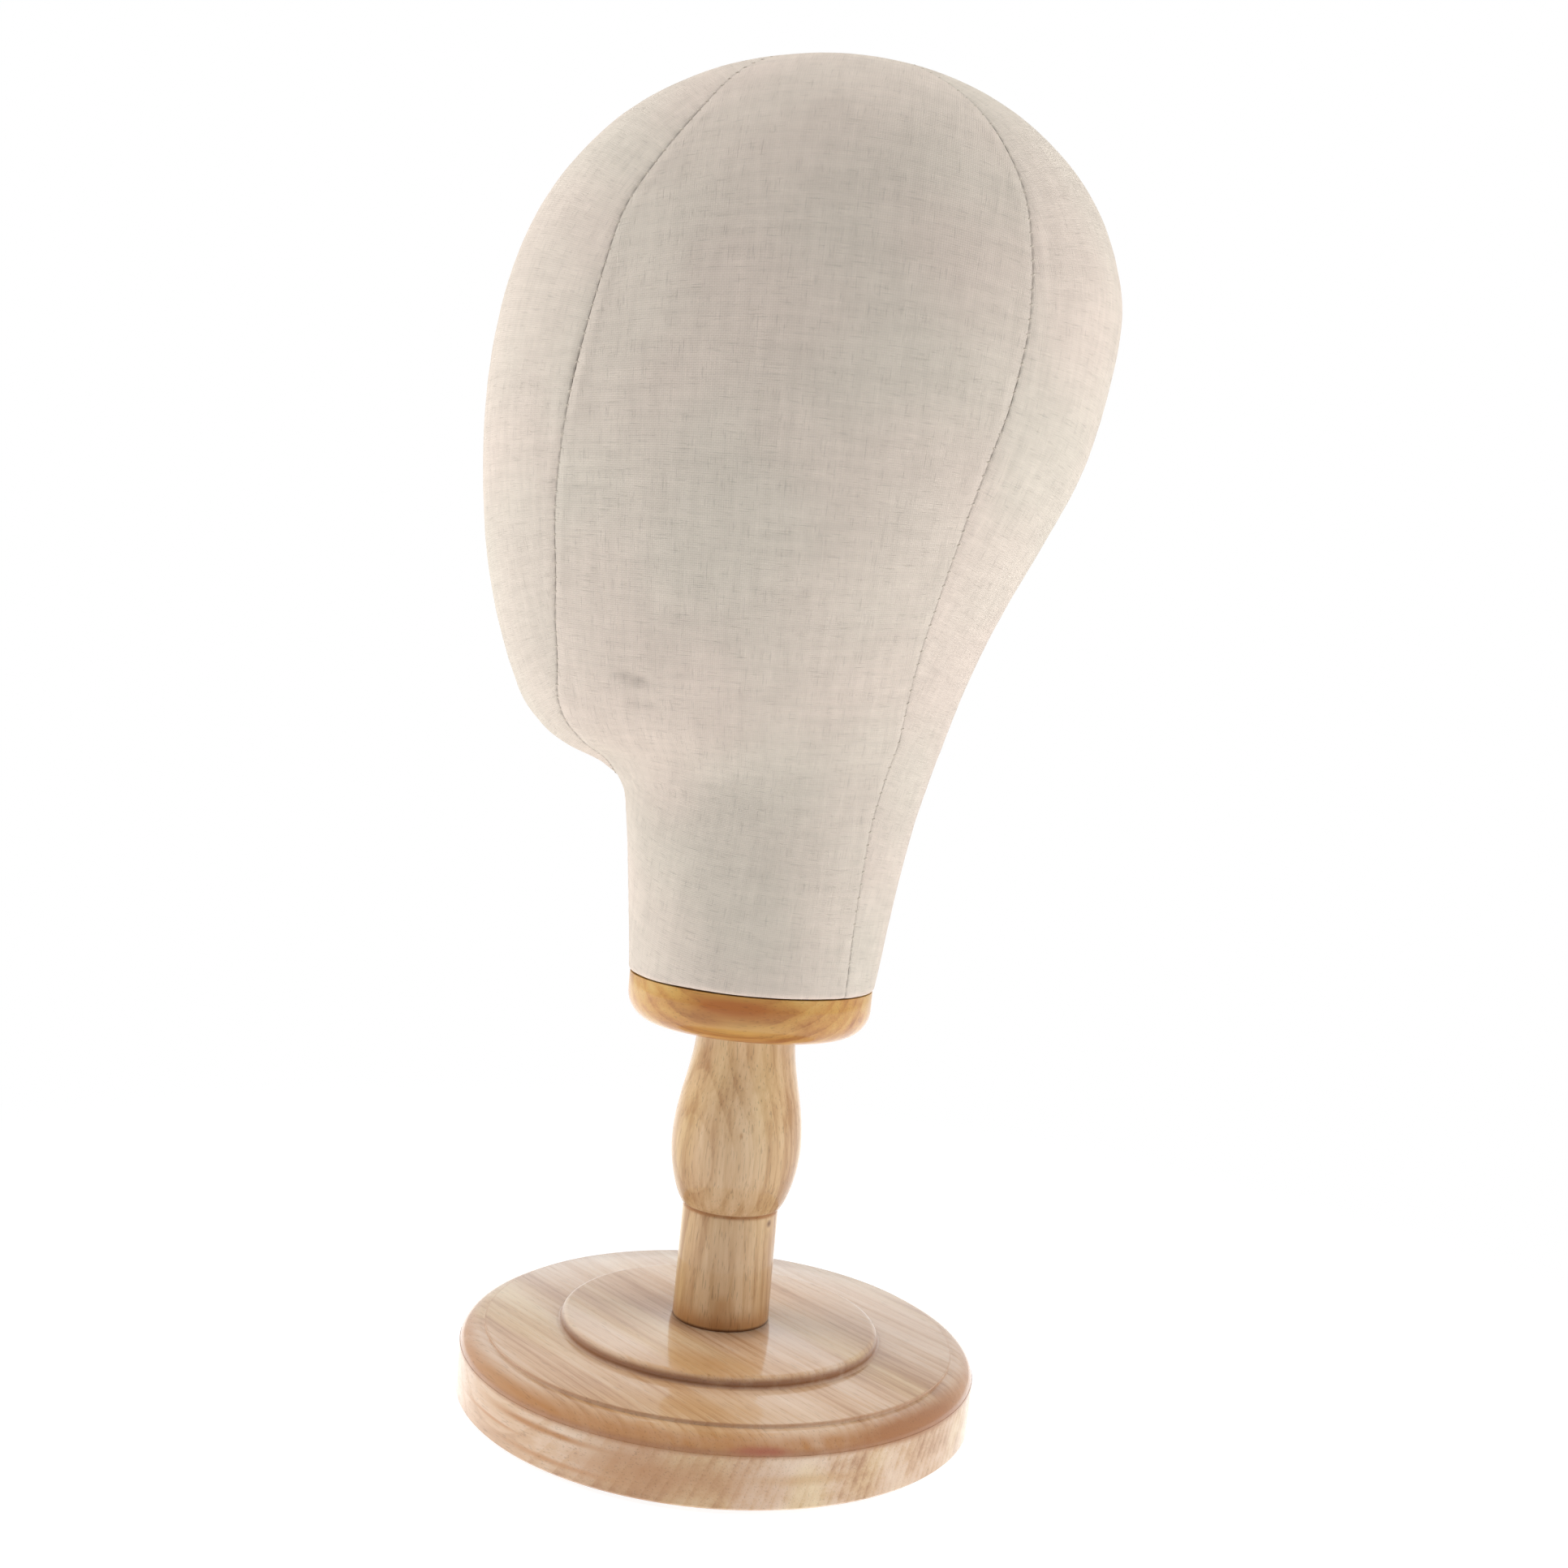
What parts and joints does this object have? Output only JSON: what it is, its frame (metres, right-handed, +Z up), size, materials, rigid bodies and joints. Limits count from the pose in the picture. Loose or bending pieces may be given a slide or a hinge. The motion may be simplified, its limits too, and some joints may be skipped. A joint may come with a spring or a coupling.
{
  "type": "canvas block head",
  "caption": "Featureless head block covered in sewn canvas on a turned wooden stand; the head turns on its peg and lifts off.",
  "frame": {"origin": "centre of the felt's underside, on the surface that the stand rests on", "axes": "+Z up along the stem, -Y the way the face looks, +X the head's left side"},
  "size_m": [0.164, 0.1969, 0.4232],
  "materials": {
    "felt": "matte",
    "base_wood": "satin",
    "stem_wood": "satin",
    "plate_wood": "satin",
    "dowel_wood": "matte",
    "steel": "satin",
    "pressed_cork": "matte",
    "canvas": "matte"
  },
  "bodies": {
    "stand": {"base_felt": "felt", "base_disc": "base_wood", "stem": "stem_wood", "screw_washer": "steel", "stem_screw": "steel"},
    "peg": {"peg": "dowel_wood"},
    "head": {"neck_plate": "plate_wood", "neck_block": "dowel_wood", "plate_screw_1": "steel", "plate_screw_2": "steel", "plate_screw_3": "steel", "head_core": "pressed_cork", "canvas_centre": "canvas", "canvas_left": "canvas", "canvas_right": "canvas"}
  },
  "joints": [
    {"name": "head_turn", "type": "hinge", "parent": "stand", "child": "peg", "pos_m": [0, 0, 0.12], "axis": [0, 0, 1], "continuous": true},
    {"name": "head_lift", "type": "slide", "parent": "peg", "child": "head", "axis": [0, 0, 1], "range_m": [0, 0.065]}
  ]
}
